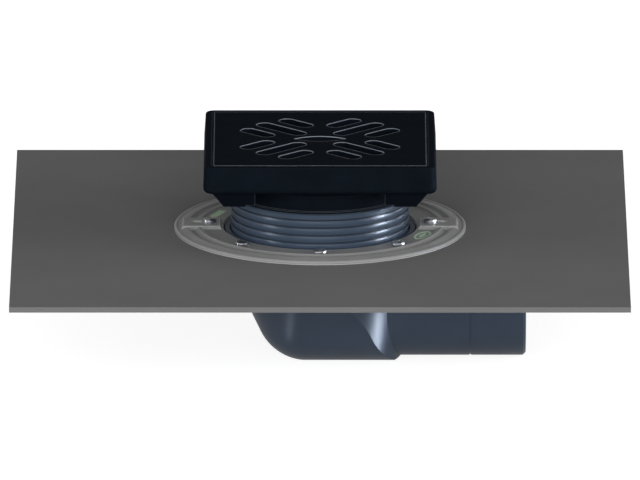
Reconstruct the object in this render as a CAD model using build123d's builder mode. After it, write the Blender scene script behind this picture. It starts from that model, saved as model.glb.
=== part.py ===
from build123d import *
import os
from math import atan, cos, degrees, radians, sin, sqrt, tan

# Balcony drain, in millimetres. The origin is on the drain's upright axis, at the height
# that the bowl and the outlet pipe stand on. +X runs along the outlet pipe.

# Outlet pipe
outlet_od = 75.0
outlet_wall = 2.3
outlet_end = 130.7
outlet_chamfer = 1.8
spigot_mark_at = 95.5  # shallow ring that marks how far a socket goes on
spigot_mark_width = 1.0
spigot_mark_depth = 0.5
outlet_start = 30.0  # where the pipe leaves the inside of the bowl

# Waterproofing sheet
pipe_to_sheet = 3.9  # air between the pipe's crown and the sheet
sheet_size = 390.0
sheet_thick = 3.5
sheet_clear = 2.6  # sheet to the body's collar

# Riser tube
riser_rib_radius = 56.6
riser_wall = 3.1
riser_rise = 23.0  # top rim above the sheet
riser_drop = 22.0  # lower end below the sheet's top
groove_pitch = 5.0
groove_first = 3.6  # first groove's middle below the top rim
groove_width = 1.2
groove_depth = 0.7
groove_crown = 0.3  # how far a ring between two grooves stands out in its middle
groove_count = 8
groove_bridge = 1.2  # small web that crosses each groove
groove_bridge_angle = -40.5
groove_bridge_sink = 0.1  # web's face below the rings' edges
riser_ledge_width = 4.0
riser_ledge_thick = 3.0
riser_chamfer = 0.5

# Bowl
bowl_wall = 3.0
bowl_draft = 25.0  # degrees from upright
bowl_bottom_radius = 34.0
bowl_flat_left = 7.2  # flat bottom's edge, left of the axis
bowl_flat_half = 13.0  # flat bottom's half width
bowl_corner_pull = 2.0  # corner centres, outside the flat bottom's edges
bowl_corner_turn = 50.0  # degrees round the corner's arc, where its middle point is set
bowl_top_radius = 57.0
bowl_belly_radius = 55.7
bowl_foot_radius = 52.2
bowl_foot_fillet = 3.0

# Socket and clamp flange of the body
socket_gap = 0.7  # riser to socket, on the radius
socket_depth = 34.5  # inner shoulder below the sheet's top
collar_wall = 3.1
collar_rise = 0.6  # collar's rim above the sheet's top
flange_edge = 2.4  # flange's rim outside the clamp ring
flange_thick = 4.5
flange_rib_thick = 2.5
flange_rib_depth = 3.5
seal_groove_depth = 3.7
seal_groove_height = 4.0
seal_lip_drop = 2.8  # lip's lower edge below the groove's top
seal_cover = 0.5  # flange's top down to the seal groove
seal_gap = 0.3  # seal to what slides past it
seal_clear = 0.05  # seal to its groove
seal_backing = 3.0
seal_edge = 0.6  # bevel on the two sealing rings

# Clamp ring, pressed from sheet metal
ring_clear = 0.8  # ring's bore to the body's collar
ring_metal = 1.5
ring_lip_edge = 1.05  # the lip's top edge is cut back by this
ring_lip_drop = 2.4
ring_land = 1.9  # land's top above the sheet
land_width = 13.6  # widths of the pressed steps, from the bore outwards
ridge_climb = 1.4
ridge_width = 1.8
ridge_fall = 2.6
valley_width = 1.8
band_climb = 1.6
band_width = 1.4
band_fall = 5.6
rim_width = 1.6
ridge_top = 3.2  # heights above the sheet
band_top = 3.0
rim_foot = 1.6
rim_top = 2.2
pad_inset = 2.5  # pad's inner end outside the ring's bore
pad_length = 22.9
pad_half = 10.2
pad_rise = 3.8  # pad's top above the sheet
pad_draft = 35.0
slot_width = 5.0
slot_half = 3.3  # half distance between the ends' centres
pad_slot_reach = 8.4  # from the screw outwards

# Clamp screws, M4, with their moulded-in inserts
screw_count = 8
screw_inset = 9.0  # screw's middle outside the ring's bore
screw_radius = 2.0
screw_length = 10.0
head_radius = 4.2
head_height = 2.4
head_round = 1.3
recess_length = 4.6
recess_width = 1.0
recess_depth = 1.2
insert_radius = 3.4
insert_length = 5.5
insert_bore = 2.1
boss_wall = 2.6
boss_floor = 2.0
sheet_hole = 2.6  # radius

# Top frame
frame_half = 74.0
frame_draw_in = 1.2  # top edge inside the bottom edge, on each side
frame_lift = 40.7  # skirt's lower edge above the sheet's top
frame_height = 17.6
frame_corner = 7.0
frame_foot_fillet = 3.0
frame_top_fillet = 1.0
frame_floor = 3.0
tray_rim = 4.3  # rim's width round the grate
frame_wall = 3.5
frame_ledge = 5.0  # width of the seat that carries the grate
ledge_thick = 3.0
tray_wall = 2.5
channel_bays = 3
channel_rib = 3.0
channel_end = 44.0  # half length of each row of bays
leg_top_half = 68.5
leg_foot_half = 61.0
leg_drop = 11.0
leg_inner = 46.8
web_inner = 41.0
web_drop = 9.6

# Neck of the top frame
neck_step = 1.5  # neck outside the riser's bore, on the radius
neck_wall = 3.0
neck_round = 5.9
neck_flare = 8.0
neck_collar_height = 1.6
neck_gap = 0.3  # collar to the riser's rim
spigot_clear = 0.4  # spigot to the riser's bore
spigot_wall = 2.9
spigot_drop = 17.0  # spigot's end below the riser's rim
spigot_groove_lift = 3.0
spigot_groove_height = 3.0
spigot_groove_depth = 1.8

# Grate
grate_gap = 0.5
grate_plate = 5.0
grate_depth = 9.0
grate_skirt = 3.0
grate_corner = 2.0
grate_edge = 0.8
grate_rib = 3.0
slot_across = 10.4
long_slot = 40.6
long_slot_at = 34.7
short_slot = 26.6
short_slot_at = 38.8
short_slot_aside = 17.25
lens_length = 33.0
lens_width = 13.0
lens_depth = 0.4

# Odour trap, hung in the riser: a funnel with a dip tube, and a pot pushed onto it
trap_clear = 0.4
trap_flange_height = 6.0
trap_groove_depth = 1.8
trap_groove_height = 3.0
trap_wall = 2.2
dip_radius = 16.0
cone_drop = 9.0
cone_inset = 3.5  # cone's upper edge inside the riser's ledge
dip_drop = 27.0  # dip tube's end below the flange
grip_width = 6.0
grip_thick = 4.0
pot_radius = 28.0
pot_foot_radius = 25.0
pot_rim_drop = 15.0  # below the trap's flange
pot_height = 18.0
pot_fin_thick = 2.0
pot_fin_height = 9.0
pot_fin_clear = 0.2

# Screws between the two pads, on each side
screw_pitch = 360.0 / screw_count
land_screws = screw_count // 2 - 1

# Heights
outlet_axis = outlet_od / 2
sheet_bottom = outlet_od + pipe_to_sheet
deck = sheet_bottom + sheet_thick
socket_bore = riser_rib_radius + socket_gap
collar_outer = socket_bore + collar_wall
shoulder = deck - socket_depth
seal_groove_top = sheet_bottom - seal_cover
seal_groove_bottom = seal_groove_top - seal_groove_height
seal_groove_radius = socket_bore + seal_groove_depth
riser_bore = riser_rib_radius - riser_wall
riser_ledge_bore = riser_bore - riser_ledge_width
riser_edge_radius = riser_rib_radius - groove_crown
groove_floor = riser_edge_radius - groove_depth
sheet_bore = collar_outer + sheet_clear
ring_inner = collar_outer + ring_clear
land_end = ring_inner + land_width
ridge_start = land_end + ridge_climb
ridge_end = ridge_start + ridge_width
valley_start = ridge_end + ridge_fall
valley_end = valley_start + valley_width
band_start = valley_end + band_climb
band_end = band_start + band_width
rim_start = band_end + band_fall
ring_outer = rim_start + rim_width
pad_start = ring_inner + pad_inset
screw_circle = ring_inner + screw_inset
flange_radius = ring_outer + flange_edge
riser_top = deck + riser_rise
riser_bottom = deck - riser_drop
trap_seat = riser_bottom + riser_ledge_thick
frame_bottom = deck + frame_lift
frame_top_half = frame_half - frame_draw_in
frame_top = frame_bottom + frame_height
grate_seat = frame_top - grate_depth
tray_floor = frame_bottom + frame_floor
neck_collar_bottom = riser_top + neck_gap
spigot_radius = riser_bore - spigot_clear
spigot_bore = spigot_radius - spigot_wall
neck_radius = riser_bore + neck_step
neck_bore = neck_radius - neck_wall
cone_start = riser_ledge_bore - cone_inset
spigot_end = riser_top - spigot_drop
spigot_groove_bottom = spigot_end + spigot_groove_lift

os.makedirs("parts", exist_ok=True)


def bowl_wall_points(inset):
    """The bowl's wall from the flat bottom's edge outwards: arc ends, arc middle and top."""
    radius = bowl_bottom_radius - inset
    lean = radians(bowl_draft)
    turn = radians(90 - bowl_draft) / 2
    middle = (radius * sin(turn), bowl_bottom_radius - radius * cos(turn))
    upper = (radius * cos(lean), bowl_bottom_radius - radius * sin(lean))
    top = (upper[0] + (shoulder - upper[1]) * tan(lean), shoulder)
    return middle, upper, top


def bowl_corner(inset):
    """A quarter turn of the wall about the left front corner's upright axis."""
    radius = bowl_bottom_radius - inset
    middle, upper, top = bowl_wall_points(inset)
    low = bowl_bottom_radius - sqrt(radius**2 - bowl_corner_pull**2)
    turn = radians(bowl_corner_turn)
    between = (radius * sin(turn) - bowl_corner_pull, bowl_bottom_radius - radius * cos(turn))
    centre = (-bowl_flat_left - bowl_corner_pull, -bowl_flat_half - bowl_corner_pull)
    with BuildPart() as corner:
        with BuildSketch(Plane((centre[0], centre[1], 0), x_dir=(-1, 0, 0), z_dir=(0, 1, 0))):
            with BuildLine():
                ThreePointArc((0, low), between, (upper[0] - bowl_corner_pull, upper[1]))
                Line((upper[0] - bowl_corner_pull, upper[1]), (top[0] - bowl_corner_pull, top[1]))
                Line((top[0] - bowl_corner_pull, top[1]), (0, top[1]))
                Line((0, top[1]), (0, low))
            make_face()
        revolve(axis=Axis((centre[0], centre[1], 0), (0, 0, 1)), revolution_arc=90)
        mirror(about=Plane.XZ)
    return corner.part


def bowl_form(inset):
    """The bowl as a solid, its walls moved in by inset and its top at the shoulder."""
    middle, upper, top = bowl_wall_points(inset)
    left = bowl_flat_left
    half = bowl_flat_half
    reach = bowl_top_radius + bowl_wall
    with BuildPart() as form:
        with BuildSketch(Plane.YZ.offset(-reach)):
            with BuildLine():
                Line((0, inset), (half, inset))
                ThreePointArc((half, inset), (half + middle[0], middle[1]), (half + upper[0], upper[1]))
                Line((half + upper[0], upper[1]), (half + top[0], top[1]))
                Line((half + top[0], top[1]), (0, top[1]))
                mirror(about=Plane.YZ)
            make_face()
        extrude(amount=2 * reach)
        with BuildSketch(Plane.XZ):
            with BuildLine():
                Line((reach, inset), (-left, inset))
                ThreePointArc((-left, inset), (-left - middle[0], middle[1]), (-left - upper[0], upper[1]))
                Line((-left - upper[0], upper[1]), (-left - top[0], top[1]))
                Line((-left - top[0], top[1]), (reach, top[1]))
                Line((reach, top[1]), (reach, inset))
            make_face()
        extrude(amount=reach + bowl_wall, both=True, mode=Mode.INTERSECT)
        block = reach
        with Locations((-left - bowl_corner_pull, half + bowl_corner_pull, 0)):
            Box(block, block, 2 * shoulder, align=(Align.MAX, Align.MIN, Align.CENTER), mode=Mode.SUBTRACT)
        with Locations((-left - bowl_corner_pull, -half - bowl_corner_pull, 0)):
            Box(block, block, 2 * shoulder, align=(Align.MAX, Align.MAX, Align.CENTER), mode=Mode.SUBTRACT)
        add(bowl_corner(inset))
        with BuildSketch(Plane.XZ):
            with BuildLine():
                Line((0, inset), (bowl_foot_radius - inset, inset))
                ThreePointArc(
                    (bowl_foot_radius - inset, inset),
                    (bowl_belly_radius - inset, shoulder / 2),
                    (bowl_top_radius - inset, shoulder),
                )
                Line((bowl_top_radius - inset, shoulder), (0, shoulder))
                Line((0, shoulder), (0, inset))
            make_face()
            foot = vertices().group_by(Axis.Y)[0].sort_by(Axis.X)[-1]
            fillet(foot, radius=bowl_foot_fillet)
        revolve(axis=Axis.Z, mode=Mode.INTERSECT)
    return form.part


# Drain body: clamp flange, socket, bowl and outlet pipe in one moulding
with BuildPart() as drain_body:
    add(bowl_form(0.0))
    with BuildSketch(Plane.XY.offset(shoulder - bowl_wall)):
        Circle(collar_outer)
    extrude(amount=deck + collar_rise - shoulder + bowl_wall)
    with BuildSketch(Plane.XY.offset(sheet_bottom)):
        Circle(flange_radius)
    extrude(amount=-flange_thick)
    with BuildSketch(Plane.XY.offset(sheet_bottom)):
        Circle(seal_groove_radius + seal_backing)
    extrude(amount=seal_groove_bottom - bowl_wall - sheet_bottom)
    with BuildSketch(Plane.XY.offset(sheet_bottom)):
        with PolarLocations(screw_circle, screw_count):
            Circle(insert_radius + boss_wall)
    extrude(amount=-insert_length - boss_floor)
    with BuildSketch(Plane.XY.offset(sheet_bottom)):
        rib_middle = (seal_groove_radius + flange_radius) / 2
        with PolarLocations(rib_middle, screw_count):
            Rectangle(flange_radius - seal_groove_radius - flange_thick, flange_rib_thick)
    extrude(amount=-flange_thick - flange_rib_depth)
    with BuildSketch(Plane.YZ.offset(outlet_start)):
        with Locations((0, outlet_axis)):
            Circle(outlet_od / 2)
    extrude(amount=outlet_end - outlet_start)
    outlet_rim = faces().sort_by(Axis.X)[-1].outer_wire().edges()
    chamfer(outlet_rim, length=outlet_chamfer)
    with BuildSketch(Plane.YZ.offset(spigot_mark_at - spigot_mark_width / 2)):
        with Locations((0, outlet_axis)):
            Circle(outlet_od / 2)
            Circle(outlet_od / 2 - spigot_mark_depth, mode=Mode.SUBTRACT)
    extrude(amount=spigot_mark_width, mode=Mode.SUBTRACT)
    with BuildSketch(Plane.YZ):
        with Locations((0, outlet_axis)):
            Circle(outlet_od / 2 - outlet_wall)
    extrude(amount=outlet_end, mode=Mode.SUBTRACT)
    add(bowl_form(bowl_wall), mode=Mode.SUBTRACT)
    with BuildSketch(Plane.XY.offset(shoulder)):
        Circle(socket_bore)
    extrude(amount=deck + collar_rise - shoulder, mode=Mode.SUBTRACT)
    with BuildSketch(Plane.XY.offset(seal_groove_bottom)):
        Circle(seal_groove_radius)
    extrude(amount=seal_groove_height, mode=Mode.SUBTRACT)
    with BuildSketch(Plane.XY.offset(sheet_bottom)):
        with PolarLocations(screw_circle, screw_count):
            Circle(insert_radius)
    extrude(amount=-insert_length, mode=Mode.SUBTRACT)
drain_body.part.label = "drain_body"
export_step(drain_body.part, "parts/drain_body.step")

# Lip seal in the socket, round the riser tube
with BuildPart() as riser_seal:
    with BuildSketch(Plane.XZ):
        seal_inner = riser_rib_radius + seal_gap
        seal_outer = seal_groove_radius - seal_clear
        with BuildLine():
            Polyline(
                (seal_outer, seal_groove_bottom + seal_clear),
                (seal_outer, seal_groove_top - seal_clear),
                (seal_inner + seal_groove_depth / 2, seal_groove_top - seal_clear),
                (seal_inner, seal_groove_top - seal_groove_height / 2),
                (seal_inner, seal_groove_top - seal_lip_drop),
                (seal_inner + seal_groove_depth / 2, seal_groove_bottom + seal_clear),
                close=True,
            )
        make_face()
    revolve(axis=Axis.Z)
riser_seal.part.label = "riser_seal"
export_step(riser_seal.part, "parts/riser_seal.step")

# Threaded inserts in the flange, under the screws
with BuildPart() as clamp_inserts:
    with BuildSketch(Plane.XY.offset(sheet_bottom)):
        with PolarLocations(screw_circle, screw_count):
            RegularPolygon(insert_radius, 6)
            Circle(insert_bore, mode=Mode.SUBTRACT)
    extrude(amount=-insert_length)
clamp_inserts.part.label = "clamp_inserts"
export_step(clamp_inserts.part, "parts/clamp_inserts.step")

# Waterproofing sheet, clamped between the flange and the ring
with BuildPart() as membrane_sheet:
    with BuildSketch(Plane.XY.offset(sheet_bottom)):
        Rectangle(sheet_size, sheet_size)
        Circle(sheet_bore, mode=Mode.SUBTRACT)
        with PolarLocations(screw_circle, screw_count):
            Circle(sheet_hole, mode=Mode.SUBTRACT)
    extrude(amount=sheet_thick)
membrane_sheet.part.label = "membrane_sheet"
export_step(membrane_sheet.part, "parts/membrane_sheet.step")

# Clamp ring: rolled section with two ridges, two raised pads and eight slotted holes
ring_top_line = (
    (ring_inner, -ring_lip_drop),
    (ring_inner, ring_land - ring_metal),
    (ring_inner + ring_lip_edge, ring_land),
    (land_end, ring_land),
    (ridge_start, ridge_top),
    (ridge_end, ridge_top),
    (valley_start, ring_metal),
    (valley_end, ring_metal),
    (band_start, band_top),
    (band_end, band_top),
    (rim_start - ring_metal / 2, rim_foot),
    (rim_start, rim_top),
    (ring_outer - ring_metal / 2, rim_top),
    (ring_outer, rim_top - ring_metal / 2),
    (ring_outer, 0.0),
)
ring_underside = (
    (ring_outer - ring_metal, 0.0),
    (rim_start - ring_metal / 2, rim_foot - ring_metal),
    (band_end, band_top - ring_metal),
    (band_start, band_top - ring_metal),
    (valley_end, 0.0),
    (valley_start, 0.0),
    (ridge_end, ridge_top - ring_metal),
    (ridge_start, ridge_top - ring_metal),
    (land_end, ring_land - ring_metal),
    (ring_inner + ring_metal, ring_land - ring_metal),
    (ring_inner + ring_metal, -ring_lip_drop),
)
with BuildPart() as clamp_ring:
    with BuildSketch(Plane.XZ):
        with BuildLine():
            Polyline(
                *[(radius, deck + up) for radius, up in ring_top_line + ring_underside],
                close=True,
            )
        make_face()
    revolve(axis=Axis.Z)
    with BuildSketch(Plane.XY.offset(deck + pad_rise)):
        with PolarLocations(pad_start + pad_length / 2, 2):
            Rectangle(pad_length, 2 * pad_half)
    extrude(amount=-pad_rise + ring_land - ring_metal, taper=-pad_draft)
    with BuildSketch(Plane.XY.offset(deck + pad_rise - ring_metal)):
        with PolarLocations(pad_start + pad_length / 2, 2):
            Rectangle(pad_length - ring_metal, 2 * pad_half - ring_metal)
    extrude(amount=-pad_rise + ring_metal, taper=-pad_draft, mode=Mode.SUBTRACT)
    with BuildSketch(Plane.XY.offset(deck)):
        with PolarLocations(screw_circle + pad_slot_reach / 2, 2):
            SlotCenterToCenter(pad_slot_reach, slot_width)
        for side in (0, 180):
            with PolarLocations(screw_circle, land_screws, side + screw_pitch, screw_pitch * land_screws):
                SlotCenterToCenter(2 * slot_half, slot_width, rotation=90)
    extrude(amount=2 * pad_rise, mode=Mode.SUBTRACT)
clamp_ring.part.label = "clamp_ring"
export_step(clamp_ring.part, "parts/clamp_ring.step")

# Clamp screws: the two on the pads stand higher than the six on the land
with BuildPart() as screw:
    Cylinder(head_radius, head_height, align=(Align.CENTER, Align.CENTER, Align.MIN))
    fillet(faces().sort_by(Axis.Z)[-1].edges(), radius=head_round)
    Cylinder(screw_radius, screw_length, align=(Align.CENTER, Align.CENTER, Align.MAX))
    with BuildSketch(Plane.XY.offset(head_height)):
        Rectangle(recess_length, recess_width)
        Rectangle(recess_width, recess_length)
    extrude(amount=-recess_depth, mode=Mode.SUBTRACT)
with BuildPart() as clamp_screws:
    with Locations((0, 0, deck + pad_rise)):
        with PolarLocations(screw_circle, 2):
            add(screw.part)
    with Locations((0, 0, deck + ring_land)):
        for side in (0, 180):
            with PolarLocations(screw_circle, land_screws, side + screw_pitch, screw_pitch * land_screws):
                add(screw.part)
clamp_screws.part.label = "clamp_screws"
export_step(clamp_screws.part, "parts/clamp_screws.step")

# Riser tube: crowned rings between level grooves, where it may be cut to length
groove_middles = [riser_top - groove_first - number * groove_pitch for number in range(groove_count)]
with BuildPart() as riser_tube:
    with BuildSketch(Plane.XZ):
        with BuildLine():
            Polyline(
                (riser_rib_radius, groove_middles[-1] - groove_width / 2),
                (riser_rib_radius, riser_bottom),
                (riser_ledge_bore, riser_bottom),
                (riser_ledge_bore, trap_seat),
                (riser_bore, trap_seat),
                (riser_bore, riser_top),
                (riser_rib_radius - riser_chamfer, riser_top),
                (riser_rib_radius, riser_top - riser_chamfer),
                (riser_rib_radius, groove_middles[0] + groove_width / 2),
                (groove_floor, groove_middles[0] + groove_width / 2),
            )
            for middle in groove_middles:
                Line((groove_floor, middle + groove_width / 2), (groove_floor, middle - groove_width / 2))
            for middle in groove_middles[:-1]:
                crown_top = middle - groove_width / 2
                crown_foot = middle - groove_pitch + groove_width / 2
                Line((groove_floor, crown_top), (riser_edge_radius, crown_top))
                ThreePointArc(
                    (riser_edge_radius, crown_top),
                    (riser_rib_radius, (crown_top + crown_foot) / 2),
                    (riser_edge_radius, crown_foot),
                )
                Line((riser_edge_radius, crown_foot), (groove_floor, crown_foot))
            last_foot = groove_middles[-1] - groove_width / 2
            Line((groove_floor, last_foot), (riser_rib_radius, last_foot))
        make_face()
    revolve(axis=Axis.Z)
    with BuildSketch(Plane.XY.offset(last_foot)):
        web_outer = riser_edge_radius - groove_bridge_sink
        web_inner_face = riser_bore + groove_depth
        with PolarLocations((web_inner_face + web_outer) / 2, 1, start_angle=groove_bridge_angle):
            Rectangle(web_outer - web_inner_face, groove_bridge)
    extrude(amount=groove_middles[0] + groove_width / 2 - last_foot)
riser_tube.part.label = "riser_tube"
export_step(riser_tube.part, "parts/riser_tube.step")

# Top frame: skirt, tray with the grate's seat, neck, spigot and four corner legs
with BuildPart() as top_frame:
    frame_taper = degrees(atan(frame_draw_in / frame_height))
    with BuildSketch(Plane.XY.offset(frame_bottom)):
        RectangleRounded(2 * frame_half, 2 * frame_half, frame_corner)
    extrude(amount=frame_height, taper=frame_taper)
    fillet(faces().sort_by(Axis.Z)[0].edges(), radius=frame_foot_fillet)
    fillet(faces().sort_by(Axis.Z)[-1].edges(), radius=frame_top_fillet)
    seat_half = frame_top_half - tray_rim
    with BuildSketch(Plane.XY.offset(grate_seat)):
        RectangleRounded(2 * seat_half, 2 * seat_half, grate_corner + grate_gap)
    extrude(amount=grate_depth, mode=Mode.SUBTRACT)
    tray_half = seat_half - frame_ledge
    with BuildSketch(Plane.XY.offset(tray_floor)):
        RectangleRounded(2 * tray_half, 2 * tray_half, frame_corner)
    extrude(amount=grate_seat - tray_floor, mode=Mode.SUBTRACT)
    bay_inner = tray_half + tray_wall
    bay_outer = frame_half - frame_wall
    bay_length = (2 * channel_end - (channel_bays - 1) * channel_rib) / channel_bays
    with BuildSketch(Plane.XY.offset(frame_bottom)):
        with PolarLocations((bay_inner + bay_outer) / 2, 4):
            with GridLocations(0, bay_length + channel_rib, 1, channel_bays):
                Rectangle(bay_outer - bay_inner, bay_length)
    extrude(amount=grate_seat - ledge_thick - frame_bottom, mode=Mode.SUBTRACT)
    leg_taper = degrees(atan((leg_top_half - leg_foot_half) / leg_drop))
    with BuildSketch(Plane.XY.offset(frame_bottom)):
        Rectangle(2 * leg_top_half, 2 * leg_top_half)
    extrude(amount=-leg_drop, taper=leg_taper)
    with BuildSketch(Plane.XY.offset(frame_bottom)):
        Rectangle(2 * web_inner, 2 * frame_half)
        Rectangle(2 * frame_half, 2 * web_inner)
    extrude(amount=-leg_drop, mode=Mode.SUBTRACT)
    with BuildSketch(Plane.XY.offset(frame_bottom - web_drop)):
        Rectangle(2 * leg_inner, 2 * frame_half)
        Rectangle(2 * frame_half, 2 * leg_inner)
    extrude(amount=web_drop - leg_drop, mode=Mode.SUBTRACT)
    with BuildSketch(Plane.XZ):
        with BuildLine():
            neck_line = Polyline(
                (neck_radius, frame_bottom - neck_round),
                (neck_radius, neck_collar_bottom + neck_collar_height),
                (riser_rib_radius, neck_collar_bottom + neck_collar_height),
                (riser_rib_radius, neck_collar_bottom),
                (spigot_radius, neck_collar_bottom),
                (spigot_radius, spigot_end),
                (spigot_bore, spigot_end),
                (spigot_bore, tray_floor),
                (neck_radius + neck_round, tray_floor),
                (neck_radius + neck_round, frame_bottom),
            )
            RadiusArc(neck_line @ 1, neck_line @ 0, neck_round)
        make_face()
    revolve(axis=Axis.Z)
    with BuildSketch(Plane.XZ):
        with BuildLine():
            Polyline(
                (0, spigot_end),
                (spigot_bore, spigot_end),
                (spigot_bore, riser_top),
                (neck_bore, neck_collar_bottom + neck_collar_height),
                (neck_bore, tray_floor - neck_flare / 2),
                (neck_bore + neck_flare, tray_floor),
                (0, tray_floor),
                close=True,
            )
        make_face()
    revolve(axis=Axis.Z, mode=Mode.SUBTRACT)
    with BuildSketch(Plane.XY.offset(spigot_groove_bottom)):
        Circle(spigot_radius)
        Circle(spigot_radius - spigot_groove_depth, mode=Mode.SUBTRACT)
    extrude(amount=spigot_groove_height, mode=Mode.SUBTRACT)
top_frame.part.label = "top_frame"
export_step(top_frame.part, "parts/top_frame.step")

# Sealing ring in the spigot's groove
with BuildPart() as neck_seal:
    with BuildSketch(Plane.XY.offset(spigot_groove_bottom + seal_clear)):
        Circle(riser_bore - seal_gap)
        Circle(spigot_radius - spigot_groove_depth + seal_clear, mode=Mode.SUBTRACT)
    extrude(amount=spigot_groove_height - 2 * seal_clear)
    chamfer(edges(), length=seal_edge)
neck_seal.part.label = "neck_seal"
export_step(neck_seal.part, "parts/neck_seal.step")

# Grate: plate with twelve rounded slots, a skirt and two stiffening ribs
with BuildPart() as grate:
    grate_half = seat_half - grate_gap
    with BuildSketch(Plane.XY.offset(frame_top)):
        RectangleRounded(2 * grate_half, 2 * grate_half, grate_corner)
    extrude(amount=-grate_depth)
    chamfer(faces().sort_by(Axis.Z)[-1].edges(), length=grate_edge)
    under_half = grate_half - grate_skirt
    with BuildSketch(Plane.XY.offset(grate_seat)):
        Rectangle(2 * under_half, 2 * under_half)
        Rectangle(2 * under_half, grate_rib, mode=Mode.SUBTRACT)
        Rectangle(grate_rib, 2 * under_half, mode=Mode.SUBTRACT)
    extrude(amount=grate_depth - grate_plate, mode=Mode.SUBTRACT)
    with BuildSketch(Plane.XY.offset(frame_top)):
        with PolarLocations(long_slot_at, 4, start_angle=45):
            SlotOverall(long_slot, slot_across)
        with PolarLocations(0, 4, start_angle=45):
            with Locations((short_slot_at, short_slot_aside), (short_slot_at, -short_slot_aside)):
                SlotOverall(short_slot, slot_across)
    extrude(amount=-grate_plate, mode=Mode.SUBTRACT)
    with BuildSketch(Plane.XY.offset(frame_top)):
        with BuildLine():
            ThreePointArc((-lens_length / 2, 0), (0, lens_width / 2), (lens_length / 2, 0))
            ThreePointArc((lens_length / 2, 0), (0, -lens_width / 2), (-lens_length / 2, 0))
        make_face()
    extrude(amount=-lens_depth, mode=Mode.SUBTRACT)
grate.part.label = "grate"
export_step(grate.part, "parts/grate.step")

# Trap funnel: flange on the riser's ledge, cone, dip tube and a bar to lift it by
trap_radius = riser_bore - trap_clear
trap_top = trap_seat + trap_flange_height
cone_foot = trap_seat - cone_drop
dip_end = trap_seat - dip_drop
trap_groove_bottom = trap_seat + (trap_flange_height - trap_groove_height) / 2
with BuildPart() as trap_funnel:
    with BuildSketch(Plane.XZ):
        with BuildLine():
            Polyline(
                (trap_radius, trap_seat),
                (trap_radius, trap_top),
                (cone_start + trap_wall, trap_top),
                (cone_start, trap_seat + trap_wall),
                (dip_radius - trap_wall, cone_foot + trap_wall),
                (dip_radius - trap_wall, dip_end),
                (dip_radius, dip_end),
                (dip_radius, cone_foot),
                (cone_start, trap_seat),
                close=True,
            )
        make_face()
    revolve(axis=Axis.Z)
    with BuildSketch(Plane.XY.offset(trap_groove_bottom)):
        Circle(trap_radius)
        Circle(trap_radius - trap_groove_depth, mode=Mode.SUBTRACT)
    extrude(amount=trap_groove_height, mode=Mode.SUBTRACT)
    with BuildSketch(Plane.XY.offset(trap_top)):
        Rectangle(2 * cone_start + trap_wall * 2, grip_width)
    extrude(amount=-grip_thick)
trap_funnel.part.label = "trap_funnel"
export_step(trap_funnel.part, "parts/trap_funnel.step")

# Sealing ring round the trap's flange
with BuildPart() as trap_seal:
    with BuildSketch(Plane.XY.offset(trap_groove_bottom + seal_clear)):
        Circle(riser_bore - seal_clear)
        Circle(trap_radius - trap_groove_depth + seal_clear, mode=Mode.SUBTRACT)
    extrude(amount=trap_groove_height - 2 * seal_clear)
    chamfer(edges(), length=seal_edge)
trap_seal.part.label = "trap_seal"
export_step(trap_seal.part, "parts/trap_seal.step")

# Trap pot: holds the water seal, and grips the dip tube with four fins
with BuildPart() as trap_pot:
    pot_rim = trap_seat - pot_rim_drop
    pot_foot = pot_rim - pot_height
    with BuildSketch(Plane.XZ):
        with BuildLine():
            Polyline(
                (0, pot_foot),
                (pot_foot_radius, pot_foot),
                (pot_radius, pot_rim),
                (pot_radius - trap_wall, pot_rim),
                (pot_foot_radius - trap_wall, pot_foot + trap_wall),
                (0, pot_foot + trap_wall),
                close=True,
            )
        make_face()
    revolve(axis=Axis.Z)
    fin_inner = dip_radius + pot_fin_clear
    fin_outer = pot_foot_radius - trap_wall / 2
    with BuildSketch(Plane.XY.offset(pot_foot + trap_wall)):
        with PolarLocations((fin_inner + fin_outer) / 2, 4, start_angle=45):
            Rectangle(fin_outer - fin_inner, pot_fin_thick)
    extrude(amount=pot_fin_height)
trap_pot.part.label = "trap_pot"
export_step(trap_pot.part, "parts/trap_pot.step")
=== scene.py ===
import math

import bmesh
import bpy
from mathutils import Matrix, Vector


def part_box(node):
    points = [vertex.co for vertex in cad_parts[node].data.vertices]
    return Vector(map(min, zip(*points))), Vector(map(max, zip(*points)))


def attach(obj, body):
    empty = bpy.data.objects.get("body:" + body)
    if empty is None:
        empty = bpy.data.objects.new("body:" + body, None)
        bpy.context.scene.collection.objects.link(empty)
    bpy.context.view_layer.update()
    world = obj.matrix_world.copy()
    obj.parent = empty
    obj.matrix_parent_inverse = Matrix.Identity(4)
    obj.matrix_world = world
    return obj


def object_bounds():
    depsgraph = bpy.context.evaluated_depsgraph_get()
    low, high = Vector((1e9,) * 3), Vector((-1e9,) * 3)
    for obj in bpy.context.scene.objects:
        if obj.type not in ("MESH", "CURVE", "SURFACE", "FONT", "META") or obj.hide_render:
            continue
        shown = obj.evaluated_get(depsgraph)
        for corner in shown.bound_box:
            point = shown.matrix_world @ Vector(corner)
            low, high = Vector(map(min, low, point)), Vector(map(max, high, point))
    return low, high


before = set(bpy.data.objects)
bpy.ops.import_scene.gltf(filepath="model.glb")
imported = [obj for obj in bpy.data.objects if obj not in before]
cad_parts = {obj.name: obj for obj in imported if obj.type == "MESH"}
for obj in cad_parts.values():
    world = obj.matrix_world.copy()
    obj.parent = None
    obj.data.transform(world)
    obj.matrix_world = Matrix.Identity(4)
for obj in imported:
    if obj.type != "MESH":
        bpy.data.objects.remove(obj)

print("frame loaded,", len(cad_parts), "nodes")
cadBox = [list(corner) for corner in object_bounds()]
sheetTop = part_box("membrane_sheet")[1].z


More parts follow.
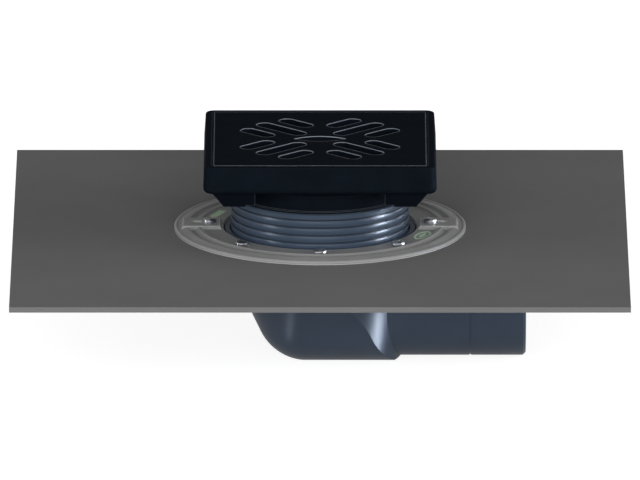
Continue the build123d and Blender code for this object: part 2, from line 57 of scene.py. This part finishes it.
class Finish:
    # a material and its node tree, with the few links that every finish here needs
    noiseMiddle = (0.3, 0.7)  # most of a noise texture lies between these
    edgeMatch = (0.93, 0.995)  # eased normal against plain one: at an edge, on a flat
    openness = (0.55, 0.95)  # how open the surface lies: in a groove, on a flat
    raySamples = 8

    def __init__(self, name, color, roughness, metallic=0.0, specular=0.5):
        self.material = bpy.data.materials.new(name)
        self.material.use_nodes = True
        self.material.diffuse_color = (*color, 1.0)
        self.nodes = self.material.node_tree.nodes
        self.links = self.material.node_tree.links
        self.shader = self.nodes["Principled BSDF"]
        self.shader.inputs["Base Color"].default_value = (*color, 1.0)
        self.shader.inputs["Roughness"].default_value = roughness
        self.shader.inputs["Metallic"].default_value = metallic
        self.shader.inputs["Specular IOR Level"].default_value = specular
        self.place = self.nodes.new("ShaderNodeTexCoord")
        self.lastHeight = None

    def noise(self, scale, detail=3.0, stretch=(1.0, 1.0, 1.0)):
        # object space noise; scale is in waves a metre
        mapping = self.nodes.new("ShaderNodeMapping")
        mapping.inputs["Scale"].default_value = stretch
        self.links.new(self.place.outputs["Object"], mapping.inputs["Vector"])
        texture = self.nodes.new("ShaderNodeTexNoise")
        texture.inputs["Scale"].default_value = scale
        texture.inputs["Detail"].default_value = detail
        self.links.new(mapping.outputs["Vector"], texture.inputs["Vector"])
        return texture.outputs["Fac"]

    def spread(self, source, low, high, fromRange=noiseMiddle):
        # maps fromRange of the source to low and high
        ranger = self.nodes.new("ShaderNodeMapRange")
        ranger.inputs["From Min"].default_value = fromRange[0]
        ranger.inputs["From Max"].default_value = fromRange[1]
        ranger.inputs["To Min"].default_value = low
        ranger.inputs["To Max"].default_value = high
        self.links.new(source, ranger.inputs["Value"])
        return ranger.outputs["Result"]

    def tint(self, source, dark, light):
        ramp = self.nodes.new("ShaderNodeValToRGB")
        for stop, position, color in zip(ramp.color_ramp.elements, self.noiseMiddle, (dark, light)):
            stop.position = position
            stop.color = (*color, 1.0)
        self.links.new(source, ramp.inputs["Fac"])
        self.links.new(ramp.outputs["Color"], self.shader.inputs["Base Color"])

    def mottle(self, source, color, amount):
        # the colour wanders by amount, both ways
        self.tint(source, shade(color, 1 - amount), shade(color, 1 + amount))

    def rough(self, source, low, high):
        self.links.new(self.spread(source, low, high), self.shader.inputs["Roughness"])

    def paintedEdgeHighlight(self, width, color, amount):
        # painted highlight: paler along sharp edges, standing in for the light that edges catch
        eased = self.nodes.new("ShaderNodeBevel")
        eased.samples = self.raySamples
        eased.inputs["Radius"].default_value = width
        plain = self.nodes.new("ShaderNodeNewGeometry")
        match = self.nodes.new("ShaderNodeVectorMath")
        match.operation = "DOT_PRODUCT"
        self.links.new(eased.outputs["Normal"], match.inputs[0])
        self.links.new(plain.outputs["Normal"], match.inputs[1])
        edgeHighlightMask = self.spread(match.outputs["Value"], amount, 0.0, self.edgeMatch)
        mix = self.nodes.new("ShaderNodeMix")
        mix.data_type = "RGBA"
        self.links.new(edgeHighlightMask, mix.inputs["Factor"])
        under = self.shader.inputs["Base Color"].links[0].from_socket
        self.links.new(under, mix.inputs["A"])
        mix.inputs["B"].default_value = (*color, 1.0)
        self.links.new(mix.outputs["Result"], self.shader.inputs["Base Color"])

    def paintedCreaseShade(self, reach, darkest):
        # painted shade: darker in narrow grooves, standing in for the shade that falls there
        hollow = self.nodes.new("ShaderNodeAmbientOcclusion")
        hollow.samples = self.raySamples
        hollow.only_local = True
        hollow.inputs["Distance"].default_value = reach
        paintedShade = self.nodes.new("ShaderNodeVectorMath")
        paintedShade.operation = "SCALE"
        under = self.shader.inputs["Base Color"].links[0].from_socket
        self.links.new(under, paintedShade.inputs[0])
        factor = self.spread(hollow.outputs["AO"], darkest, 1.0, self.openness)
        self.links.new(factor, paintedShade.inputs["Scale"])
        self.links.new(paintedShade.outputs["Vector"], self.shader.inputs["Base Color"])

    def bump(self, source, depth):
        # depth is the real height of the grain in metres
        bump = self.nodes.new("ShaderNodeBump")
        bump.inputs["Distance"].default_value = depth
        bump.inputs["Strength"].default_value = 1.0
        self.links.new(source, bump.inputs["Height"])
        if self.lastHeight is not None:
            self.links.new(self.lastHeight, bump.inputs["Normal"])
        self.links.new(bump.outputs["Normal"], self.shader.inputs["Normal"])
        self.lastHeight = bump.outputs["Normal"]


def shade(color, factor):
    return tuple(channel * factor for channel in color)


def dress(finish, *nodeNames):
    for nodeName in nodeNames:
        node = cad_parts[nodeName]
        node.data.materials.clear()
        node.data.materials.append(finish.material)


# body and riser: smooth moulded plastic, dark blue-grey
bodyPlastic = {
    "color": (0.0428, 0.0610, 0.0915),
    "roughness": (0.30, 0.34),
    "specular": 0.26,
    "mottle": 0.06,  # how far the colour wanders
    "mottleScale": 38.0,
    "creaseReach": 0.002,  # how far round a point its groove is felt
    "creasePaintedShade": 0.35,  # painted shade: what is left of the colour deep in a groove
    "orangePeelScale": 420.0,
    "orangePeelDepth": 0.000006,
}


def makeBodyPlastic(name, shadeGrooves):
    way = bodyPlastic
    finish = Finish(name, way["color"], way["roughness"][0], specular=way["specular"])
    slow = finish.noise(way["mottleScale"])
    finish.mottle(slow, way["color"], way["mottle"])
    # painted shade in the riser's grooves, darker than the lamps alone make them
    if shadeGrooves:
        finish.paintedCreaseShade(way["creaseReach"], way["creasePaintedShade"])
    finish.rough(slow, *way["roughness"])
    finish.bump(finish.noise(way["orangePeelScale"], detail=2.0), way["orangePeelDepth"])
    return finish


dress(makeBodyPlastic("bodyPlastic", shadeGrooves=False), "drain_body")
dress(makeBodyPlastic("riserPlastic", shadeGrooves=True), "riser_tube")


# frame and grate: black plastic with a fine spark-eroded grain
blackPlastic = {
    "color": (0.0045, 0.0068, 0.0104),
    "roughness": (0.48, 0.58),
    "specular": 0.004,
    "edgeWidth": 0.0009,
    "frameEdgeHighlight": (0.045, 0.053, 0.064),  # painted edge highlight, paler on the grate than on the frame
    "grateEdgeHighlight": (0.26, 0.29, 0.34),
    "edgeHighlightAmount": 0.9,
    "mottle": 0.15,
    "mottleScale": 55.0,
    "grainScale": 2400.0,
    "grainDepth": 0.000035,
}


def makeBlackPlastic(name, edgeHighlightColor):
    way = blackPlastic
    finish = Finish(name, way["color"], way["roughness"][0], specular=way["specular"])
    slow = finish.noise(way["mottleScale"])
    finish.mottle(slow, way["color"], way["mottle"])
    # painted highlight along the frame's and grate's edges
    finish.paintedEdgeHighlight(way["edgeWidth"], edgeHighlightColor, way["edgeHighlightAmount"])
    finish.rough(slow, *way["roughness"])
    finish.bump(finish.noise(way["grainScale"], detail=2.0), way["grainDepth"])
    return finish


dress(makeBlackPlastic("framePlastic", blackPlastic["frameEdgeHighlight"]), "top_frame")
dress(makeBlackPlastic("gratePlastic", blackPlastic["grateEdgeHighlight"]), "grate")


# clamp ring: pressed sheet metal with a dull rolled skin
ringMetal = {
    "color": (0.246, 0.246, 0.246),
    "roughness": (0.36, 0.44),
    "metallic": 0.1,
    "specular": 0.12,
    "edgeWidth": 0.0008,
    "edgeHighlightColor": (0.60, 0.60, 0.60),
    "edgeHighlightAmount": 0.7,
    "creaseReach": 0.0045,
    "creasePaintedShade": 0.50,
    "mottle": 0.06,
    "rollScale": 900.0,
    "rollStretch": (0.06, 1.0, 1.0),
    "rollDepth": 0.00001,
    "cloudScale": 45.0,
}


def makeRingMetal():
    way = ringMetal
    finish = Finish(
        "ringMetal",
        way["color"],
        way["roughness"][0],
        metallic=way["metallic"],
        specular=way["specular"],
    )
    cloud = finish.noise(way["cloudScale"], detail=5.0)
    finish.mottle(cloud, way["color"], way["mottle"])
    # painted shade in the ring's grooves
    finish.paintedCreaseShade(way["creaseReach"], way["creasePaintedShade"])
    # painted highlight along the ring's edges
    finish.paintedEdgeHighlight(way["edgeWidth"], way["edgeHighlightColor"], way["edgeHighlightAmount"])
    roll = finish.noise(way["rollScale"], detail=2.0, stretch=way["rollStretch"])
    finish.rough(roll, *way["roughness"])
    finish.bump(roll, way["rollDepth"])
    return finish


dress(makeRingMetal(), "clamp_ring")


# screws: bright stainless steel with a fine even grain
screwSteel = {
    "color": (0.66, 0.65, 0.64),
    "roughness": (0.30, 0.38),
    "fineScale": 3000.0,
    "fineDepth": 0.000006,
    "darkest": 0.94,  # the colour in the grain, as a part of the full one
}


def makeScrewSteel():
    way = screwSteel
    finish = Finish("screwSteel", way["color"], way["roughness"][0], metallic=1.0)
    fine = finish.noise(way["fineScale"], detail=2.0)
    finish.tint(fine, shade(way["color"], way["darkest"]), way["color"])
    finish.rough(fine, *way["roughness"])
    finish.bump(fine, way["fineDepth"])
    return finish


dress(makeScrewSteel(), "clamp_screws")


# waterproofing sheet: matt bitumen with a fine mineral face
sheetFace = {
    "color": (0.160, 0.159, 0.159),
    "roughness": (0.82, 0.92),
    "specular": 0.0,
    "speckScale": 1500.0,
    "speckDepth": 0.00006,
    "cloudScale": 16.0,
    "cloud": 0.035,
}


def makeSheetFace():
    way = sheetFace
    finish = Finish("sheetFace", way["color"], way["roughness"][0], specular=way["specular"])
    cloud = finish.noise(way["cloudScale"], detail=6.0)
    finish.mottle(cloud, way["color"], way["cloud"])
    speck = finish.noise(way["speckScale"], detail=3.0)
    finish.rough(speck, *way["roughness"])
    finish.bump(speck, way["speckDepth"])
    return finish


dress(makeSheetFace(), "membrane_sheet")


# seals: black elastomer, satin, with a faint moulding bloom
sealRubber = {
    "color": (0.016, 0.016, 0.016),
    "roughness": (0.50, 0.66),
    "specular": 0.35,
    "bloomScale": 120.0,
    "bloom": 0.25,
    "grainScale": 1800.0,
    "grainDepth": 0.00003,
}


def makeSealRubber():
    way = sealRubber
    finish = Finish("sealRubber", way["color"], way["roughness"][0], specular=way["specular"])
    bloom = finish.noise(way["bloomScale"], detail=4.0)
    finish.mottle(bloom, way["color"], way["bloom"])
    finish.rough(bloom, *way["roughness"])
    finish.bump(finish.noise(way["grainScale"], detail=2.0), way["grainDepth"])
    return finish


dress(makeSealRubber(), "riser_seal", "neck_seal", "trap_seal")


# inserts: turned brass
insertBrass = {
    "color": (0.60, 0.42, 0.16),
    "roughness": (0.26, 0.38),
    "turnScale": 4200.0,
    "turnStretch": (0.1, 0.1, 1.0),
    "turnDepth": 0.000008,
    "darkest": 0.88,
}


def makeInsertBrass():
    way = insertBrass
    finish = Finish("insertBrass", way["color"], way["roughness"][0], metallic=1.0)
    turn = finish.noise(way["turnScale"], detail=1.0, stretch=way["turnStretch"])
    finish.tint(turn, shade(way["color"], way["darkest"]), way["color"])
    finish.rough(turn, *way["roughness"])
    finish.bump(turn, way["turnDepth"])
    return finish


dress(makeInsertBrass(), "clamp_inserts")


# trap: plain grey moulded plastic
trapPlastic = {
    "color": (0.085, 0.095, 0.11),
    "roughness": (0.36, 0.46),
    "specular": 0.4,
    "mottle": 0.05,
    "mottleScale": 60.0,
    "grainScale": 1600.0,
    "grainDepth": 0.00003,
}


def makeTrapPlastic():
    way = trapPlastic
    finish = Finish("trapPlastic", way["color"], way["roughness"][0], specular=way["specular"])
    slow = finish.noise(way["mottleScale"])
    finish.mottle(slow, way["color"], way["mottle"])
    finish.rough(slow, *way["roughness"])
    finish.bump(finish.noise(way["grainScale"], detail=2.0), way["grainDepth"])
    return finish


dress(makeTrapPlastic(), "trap_funnel", "trap_pot")
print("finishes on", len(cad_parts), "nodes")


# two plain printed marks on the ring's land: a filled bar, and an open oval round a small one
landMarks = {
    "landHeight": 0.0019,  # ring land above the sheet's top
    "thickness": 0.00012,
    "bar": {"at": (-0.0650, 0.0270), "length": 0.0170, "width": 0.0050, "round": 0.0012, "steps": 4},
    "oval": {"at": (0.0650, -0.0265), "length": 0.0200, "width": 0.0092, "line": 0.0015, "steps": 48},
    "core": {"length": 0.0100, "width": 0.0030, "steps": 32},
    "color": (0.44, 0.62, 0.43),
    "roughness": (0.42, 0.56),
    "specular": 0.3,
    "patchScale": 700.0,
    "patchRange": (0.9, 1.06),
}


def makeMarkPaint():
    way = landMarks
    finish = Finish("markPaint", way["color"], way["roughness"][0], specular=way["specular"])
    patch = finish.noise(way["patchScale"])
    finish.tint(patch, *[shade(way["color"], factor) for factor in way["patchRange"]])
    finish.rough(patch, *way["roughness"])
    return finish


def placeMark(bm, at):
    # turns the mark so that its length follows the ring, and sets it on the land
    turn = math.atan2(at[1], at[0]) + math.pi / 2
    spot = Matrix.Translation((at[0], at[1], sheetTop + landMarks["landHeight"]))
    bmesh.ops.transform(bm, matrix=spot @ Matrix.Rotation(turn, 4, "Z"), verts=bm.verts)


def finishMark(bm, name, paint):
    bmesh.ops.recalc_face_normals(bm, faces=bm.faces)
    mesh = bpy.data.meshes.new(name)
    bm.to_mesh(mesh)
    bm.free()
    mark = bpy.data.objects.new(name, mesh)
    bpy.context.scene.collection.objects.link(mark)
    mesh.materials.append(paint.material)
    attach(mark, "base")


def makeBarMark(paint):
    size = landMarks["bar"]
    bm = bmesh.new()
    bmesh.ops.create_cube(bm, size=1.0)
    bmesh.ops.scale(bm, vec=(size["length"], size["width"], landMarks["thickness"]), verts=bm.verts)
    upright = [edge for edge in bm.edges if abs(edge.verts[0].co.z - edge.verts[1].co.z) > 1e-6]
    bmesh.ops.bevel(
        bm,
        geom=upright,
        offset=size["round"],
        segments=size["steps"],
        profile=0.5,
        affect="EDGES",
        material=-1,
    )
    bmesh.ops.translate(bm, vec=(0, 0, landMarks["thickness"] / 2), verts=bm.verts)
    placeMark(bm, size["at"])
    finishMark(bm, "barMark", paint)


def makeOvalMark(paint):
    size = landMarks["oval"]
    core = landMarks["core"]
    bm = bmesh.new()
    bmesh.ops.create_circle(bm, cap_ends=True, radius=0.5, segments=size["steps"])
    bmesh.ops.scale(bm, vec=(size["length"], size["width"], 1.0), verts=bm.verts)
    face = bm.faces[:]
    bmesh.ops.inset_region(
        bm, faces=face, thickness=size["line"], use_boundary=True, use_even_offset=True
    )
    bmesh.ops.delete(bm, geom=face, context="FACES")
    flat = Matrix.Diagonal((core["length"], core["width"], 1.0, 1.0))
    bmesh.ops.create_circle(bm, cap_ends=True, radius=0.5, segments=core["steps"], matrix=flat)
    grown = bmesh.ops.extrude_face_region(bm, geom=bm.faces[:])
    lifted = [part for part in grown["geom"] if isinstance(part, bmesh.types.BMVert)]
    bmesh.ops.translate(bm, vec=(0, 0, landMarks["thickness"]), verts=lifted)
    placeMark(bm, size["at"])
    finishMark(bm, "ovalMark", paint)


markPaint = makeMarkPaint()
makeBarMark(markPaint)
makeOvalMark(markPaint)
print("marks on the ring")


# pale floor: white to the camera, with the object's shadow left on it
floorWay = {
    "size": 40.0,
    "color": (0.42, 0.42, 0.42),
    "lift": 0.86,  # light that the floor adds for the eye, so that it reads as white
    "mirrorShare": 0.36,  # part of that light that reflections show
    "drop": 0.0002,
}


def reckon(nodes, links, operation, first, second):
    # a math node; each of its two inputs is a socket or a number
    node = nodes.new("ShaderNodeMath")
    node.operation = operation
    for socket, value in zip(node.inputs, (first, second)):
        if isinstance(value, float):
            socket.default_value = value
        else:
            links.new(value, socket)
    return node.outputs[0]


def seenByEye(nodes, links, mirrorShare):
    # 1 where a ray comes from the camera or glass, mirrorShare from a mirror, else 0
    path = nodes.new("ShaderNodeLightPath").outputs
    mirror = reckon(nodes, links, "MULTIPLY", path["Is Glossy Ray"], mirrorShare)
    direct = reckon(nodes, links, "MAXIMUM", path["Is Camera Ray"], mirror)
    return reckon(nodes, links, "MAXIMUM", direct, path["Is Transmission Ray"])


def makeFloor():
    bm = bmesh.new()
    bmesh.ops.create_grid(bm, x_segments=1, y_segments=1, size=floorWay["size"] / 2)
    bmesh.ops.translate(bm, vec=(0, 0, cadBox[0][2] - floorWay["drop"]), verts=bm.verts)
    mesh = bpy.data.meshes.new("floor")
    bm.to_mesh(mesh)
    bm.free()
    floor = bpy.data.objects.new("floor", mesh)
    bpy.context.scene.collection.objects.link(floor)
    material = bpy.data.materials.new("floorPaint")
    material.use_nodes = True
    nodes = material.node_tree.nodes
    links = material.node_tree.links
    diffuse = nodes.new("ShaderNodeBsdfDiffuse")
    diffuse.inputs["Color"].default_value = (*floorWay["color"], 1.0)
    glow = nodes.new("ShaderNodeEmission")
    seen = seenByEye(nodes, links, floorWay["mirrorShare"])
    links.new(reckon(nodes, links, "MULTIPLY", seen, floorWay["lift"]), glow.inputs["Strength"])
    both = nodes.new("ShaderNodeAddShader")
    links.new(diffuse.outputs[0], both.inputs[0])
    links.new(glow.outputs[0], both.inputs[1])
    links.new(both.outputs[0], nodes["Material Output"].inputs["Surface"])
    mesh.materials.append(material)


makeFloor()


# soft studio: a grey room, paler overhead, above a white backdrop, with a broad front light and low
# strips for the reflections
studio = {
    "roomLow": 0.10,
    "roomHigh": 0.33,
    "backdropTop": 0.06,  # sine of the height up to which the room is white
    "backdropMirrored": 1.0,  # part of that white that reflections show
    "lights": [
        # name, azimuth right of the front, elevation, distance, width, height, power in watts
        ("frontLight", -2.0, 16.0, 3.0, 3.0, 1.4, 88.0),
        ("leftFill", -80.0, 16.0, 3.0, 1.6, 1.2, 18.0),
        ("rightFill", 80.0, 16.0, 3.0, 1.6, 1.2, 38.0),
    ],
    "glossStrips": [
        ("frontStrip", -8.0, 18.0, 3.0, 2.4, 1.4, 17.0),
        ("rightStrip", 84.0, 5.0, 2.6, 0.20, 0.44, 14.0),
        ("farStrip", 122.0, 5.0, 2.6, 0.10, 0.44, 7.0),
        ("leftStrip", -66.0, 5.0, 2.6, 0.12, 0.44, 18.0),
    ],
    "nearCards": [
        # small cards close to what they shine on, for level walls that mirror only what is near
        # name, place, azimuth, elevation, width, height, spread in degrees, power
        ("bowlCard", (0.0610, -0.0450, 0.0155), 85.0, -22.0, 0.012, 0.030, 80.0, 0.0062),
        ("riserCard", (0.2600, -0.0550, 0.1250), 86.0, 0.0, 0.050, 0.100, 120.0, 0.46),
        ("leftCard", (-0.0320, -0.0600, 0.0010), 0.0, -90.0, 0.008, 0.026, 120.0, 0.0012),
    ],
    "stripColor": (0.77, 0.86, 1.0),
}


def makeRoom():
    world = bpy.data.worlds.new("room")
    bpy.context.scene.world = world
    world.use_nodes = True
    nodes = world.node_tree.nodes
    links = world.node_tree.links
    plain = nodes["Background"]
    plain.inputs["Color"].default_value = (1.0, 1.0, 1.0, 1.0)
    white = nodes.new("ShaderNodeBackground")
    white.inputs["Color"].default_value = (1.0, 1.0, 1.0, 1.0)
    white.inputs["Strength"].default_value = 1.0
    place = nodes.new("ShaderNodeTexCoord")
    split = nodes.new("ShaderNodeSeparateXYZ")
    links.new(place.outputs["Generated"], split.inputs[0])
    low = reckon(nodes, links, "LESS_THAN", split.outputs["Z"], studio["backdropTop"])
    climb = nodes.new("ShaderNodeMapRange")
    climb.inputs["To Min"].default_value = studio["roomLow"]
    climb.inputs["To Max"].default_value = studio["roomHigh"]
    links.new(split.outputs["Z"], climb.inputs["Value"])
    links.new(climb.outputs["Result"], plain.inputs["Strength"])
    both = reckon(nodes, links, "MULTIPLY", low, seenByEye(nodes, links, studio["backdropMirrored"]))
    mix = nodes.new("ShaderNodeMixShader")
    links.new(both, mix.inputs["Fac"])
    links.new(plain.outputs[0], mix.inputs[1])
    links.new(white.outputs[0], mix.inputs[2])
    links.new(mix.outputs[0], nodes["World Output"].inputs["Surface"])


def makeLight(name, azimuth, elevation, distance, width, height, power):
    light = bpy.data.lights.new(name, "AREA")
    light.shape = "RECTANGLE"
    light.size = width
    light.size_y = height
    light.energy = power
    lamp = bpy.data.objects.new(name, light)
    bpy.context.scene.collection.objects.link(lamp)
    side = math.radians(azimuth)
    rise = math.radians(elevation)
    away = Vector((math.sin(side) * math.cos(rise), -math.cos(side) * math.cos(rise), math.sin(rise)))
    lamp.location = Vector((0, 0, cadBox[0][2])) + away * distance
    lamp.rotation_euler = away.to_track_quat("Z", "Y").to_euler()
    lamp.visible_camera = False
    return lamp


def makeCard(name, place, azimuth, elevation, width, height, spread, power):
    card = makeLight(name, azimuth, elevation, 1.0, width, height, power)
    card.location = place
    card.data.spread = math.radians(spread)
    return card


makeRoom()
for lightWay in studio["lights"]:
    light = makeLight(*lightWay)
    light.visible_glossy = False  # reflections come from the strips and cards instead
strips = [makeLight(*way) for way in studio["glossStrips"]]
strips += [makeCard(*way) for way in studio["nearCards"]]
for strip in strips:
    strip.visible_diffuse = False  # it only draws the long reflections on the glossy plastic
    strip.data.color = studio["stripColor"]
print("room and", len(studio["lights"]) + len(strips), "lights")


# camera: almost parallel view from the front, a little from above
cameraWay = {
    "elevation": 14.89,
    "lens": 1260.0,
    "sensor": 36.0,
    "frameWidth": 0.4067,  # what the picture's width covers at the object
    "aimBelowSheet": 0.0082,
    "clip": (1.0, 100.0),
}


def makeCamera():
    way = cameraWay
    camera = bpy.data.cameras.new("camera")
    camera.lens = way["lens"]
    camera.sensor_width = way["sensor"]
    viewer = bpy.data.objects.new("camera", camera)
    bpy.context.scene.collection.objects.link(viewer)
    distance = way["frameWidth"] * way["lens"] / way["sensor"]
    rise = math.radians(way["elevation"])
    back = Vector((0, -math.cos(rise), math.sin(rise)))
    viewer.location = Vector((0, 0, sheetTop - way["aimBelowSheet"])) + back * distance
    viewer.rotation_euler = back.to_track_quat("Z", "Y").to_euler()
    camera.clip_start, camera.clip_end = way["clip"]
    bpy.context.scene.camera = viewer


makeCamera()
bpy.context.scene.view_settings.view_transform = "Standard"

print("scene done")
